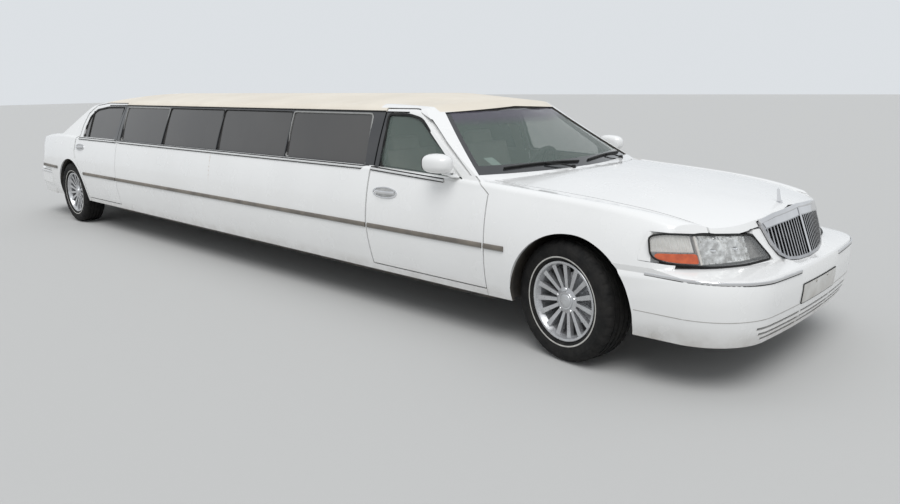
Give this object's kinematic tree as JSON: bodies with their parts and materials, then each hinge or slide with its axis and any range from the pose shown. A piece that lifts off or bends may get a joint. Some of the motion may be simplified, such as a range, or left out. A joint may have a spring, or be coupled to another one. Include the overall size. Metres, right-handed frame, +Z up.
{
  "type": "luxury sedan",
  "caption": "Stretched luxury sedan with opening doors, bonnet and boot lid, steered front wheels, free-turning wheels, glazed long cabin and body on a perimeter frame",
  "frame": {"origin": "on the ground in the middle of the overall length and width", "axes": "+X forward, +Y to the car's left, +Z up"},
  "size_m": [9.535, 2.1194, 1.4907],
  "materials": {
    "paint": "gloss",
    "vinyl": "matte",
    "dark_glass": "gloss",
    "clear_glass": "gloss",
    "lamp": "gloss",
    "red_lamp": "gloss",
    "chrome": "polished",
    "wheel_metal": "satin",
    "tyre": "matte",
    "frame_metal": "satin",
    "cast": "rough",
    "steel": "satin",
    "trim": "matte",
    "seat": "soft"
  },
  "bodies": {
    "body": {"front_fenders": "paint", "cowl": "paint", "roof": "vinyl", "rockers": "paint", "stretch_panels": "paint", "quarter_panels": "paint", "tail_panel": "paint", "rear_shelf": "paint", "floor_pan": "frame_metal", "inner_fenders": "frame_metal", "front_bumper": "paint", "rear_bumper": "paint", "grille": "chrome", "headlamps": "lamp", "tail_lamps": "red_lamp", "screens": "clear_glass", "stretch_glass": "dark_glass", "chassis_frame": "frame_metal", "engine": "cast", "fuel_tank": "steel", "exhaust": "steel", "driveline": "cast", "front_suspension": "cast", "dashboard": "trim", "front_seats": "seat", "rear_seats": "seat", "partition": "trim"},
    "hood": {"hood": "paint"},
    "trunk_lid": {"trunk_lid": "paint"},
    "door_front_left": {"door_front_left": "paint", "door_glass_front_left": "clear_glass", "handle_front_left": "chrome", "mirror_left": "paint"},
    "wheel_front_left": {"tyre_front_left": "tyre", "wheel_front_left": "wheel_metal"},
    "door_front_right": {"door_front_right": "paint", "door_glass_front_right": "clear_glass", "handle_front_right": "chrome", "mirror_right": "paint"},
    "wheel_front_right": {"tyre_front_right": "tyre", "wheel_front_right": "wheel_metal"},
    "door_rear_left": {"door_rear_left": "paint", "door_glass_rear_left": "dark_glass", "handle_rear_left": "chrome"},
    "wheel_rear_left": {"tyre_rear_left": "tyre", "wheel_rear_left": "wheel_metal"},
    "door_rear_right": {"door_rear_right": "paint", "door_glass_rear_right": "dark_glass", "handle_rear_right": "chrome"},
    "wheel_rear_right": {"tyre_rear_right": "tyre", "wheel_rear_right": "wheel_metal"},
    "knuckle_left": {"knuckle_left": "cast"},
    "knuckle_right": {"knuckle_right": "cast"}
  },
  "joints": [
    {"name": "hood_hinge", "type": "hinge", "parent": "body", "child": "hood", "pos_m": [3.1195, 0, 1.015], "axis": [0, -1, 0], "range_deg": [0, 50]},
    {"name": "trunk_hinge", "type": "hinge", "parent": "body", "child": "trunk_lid", "pos_m": [-3.8965, 0, 1.052], "axis": [0, 1, 0], "range_deg": [0, 70]},
    {"name": "door_front_left_hinge", "type": "hinge", "parent": "body", "child": "door_front_left", "pos_m": [3.1555, 0.978, 0.7], "axis": [0, 0, -1], "range_deg": [0, 65]},
    {"name": "door_front_right_hinge", "type": "hinge", "parent": "body", "child": "door_front_right", "pos_m": [3.1555, -0.978, 0.7], "axis": [0, 0, 1], "range_deg": [0, 65]},
    {"name": "door_rear_left_hinge", "type": "hinge", "parent": "body", "child": "door_rear_left", "pos_m": [-2.0145, 0.978, 0.7], "axis": [0, 0, -1], "range_deg": [0, 65]},
    {"name": "door_rear_right_hinge", "type": "hinge", "parent": "body", "child": "door_rear_right", "pos_m": [-2.0145, -0.978, 0.7], "axis": [0, 0, 1], "range_deg": [0, 65]},
    {"name": "steer_left", "type": "hinge", "parent": "body", "child": "knuckle_left", "pos_m": [3.7175, 0.72, 0.352], "axis": [0, 0, 1], "range_deg": [-24, 42]},
    {"name": "spin_front_left", "type": "hinge", "parent": "knuckle_left", "child": "wheel_front_left", "pos_m": [3.7308, 0.80395, 0.352], "axis": [0.1564, 0.9877, 0], "continuous": true},
    {"name": "spin_rear_left", "type": "hinge", "parent": "body", "child": "wheel_rear_left", "pos_m": [-3.3365, 0.82, 0.352], "axis": [0, 1, 0], "continuous": true},
    {"name": "steer_right", "type": "hinge", "parent": "body", "child": "knuckle_right", "pos_m": [3.7175, -0.72, 0.352], "axis": [0, 0, 1], "range_deg": [-24, 42]},
    {"name": "spin_front_right", "type": "hinge", "parent": "knuckle_right", "child": "wheel_front_right", "pos_m": [3.7042, -0.80395, 0.352], "axis": [0.1564, 0.9877, 0], "continuous": true},
    {"name": "spin_rear_right", "type": "hinge", "parent": "body", "child": "wheel_rear_right", "pos_m": [-3.3365, -0.82, 0.352], "axis": [0, 1, 0], "continuous": true}
  ],
  "couplings": [
    {"joint": "steer_right", "follows": "steer_left", "ratio": 1}
  ]
}
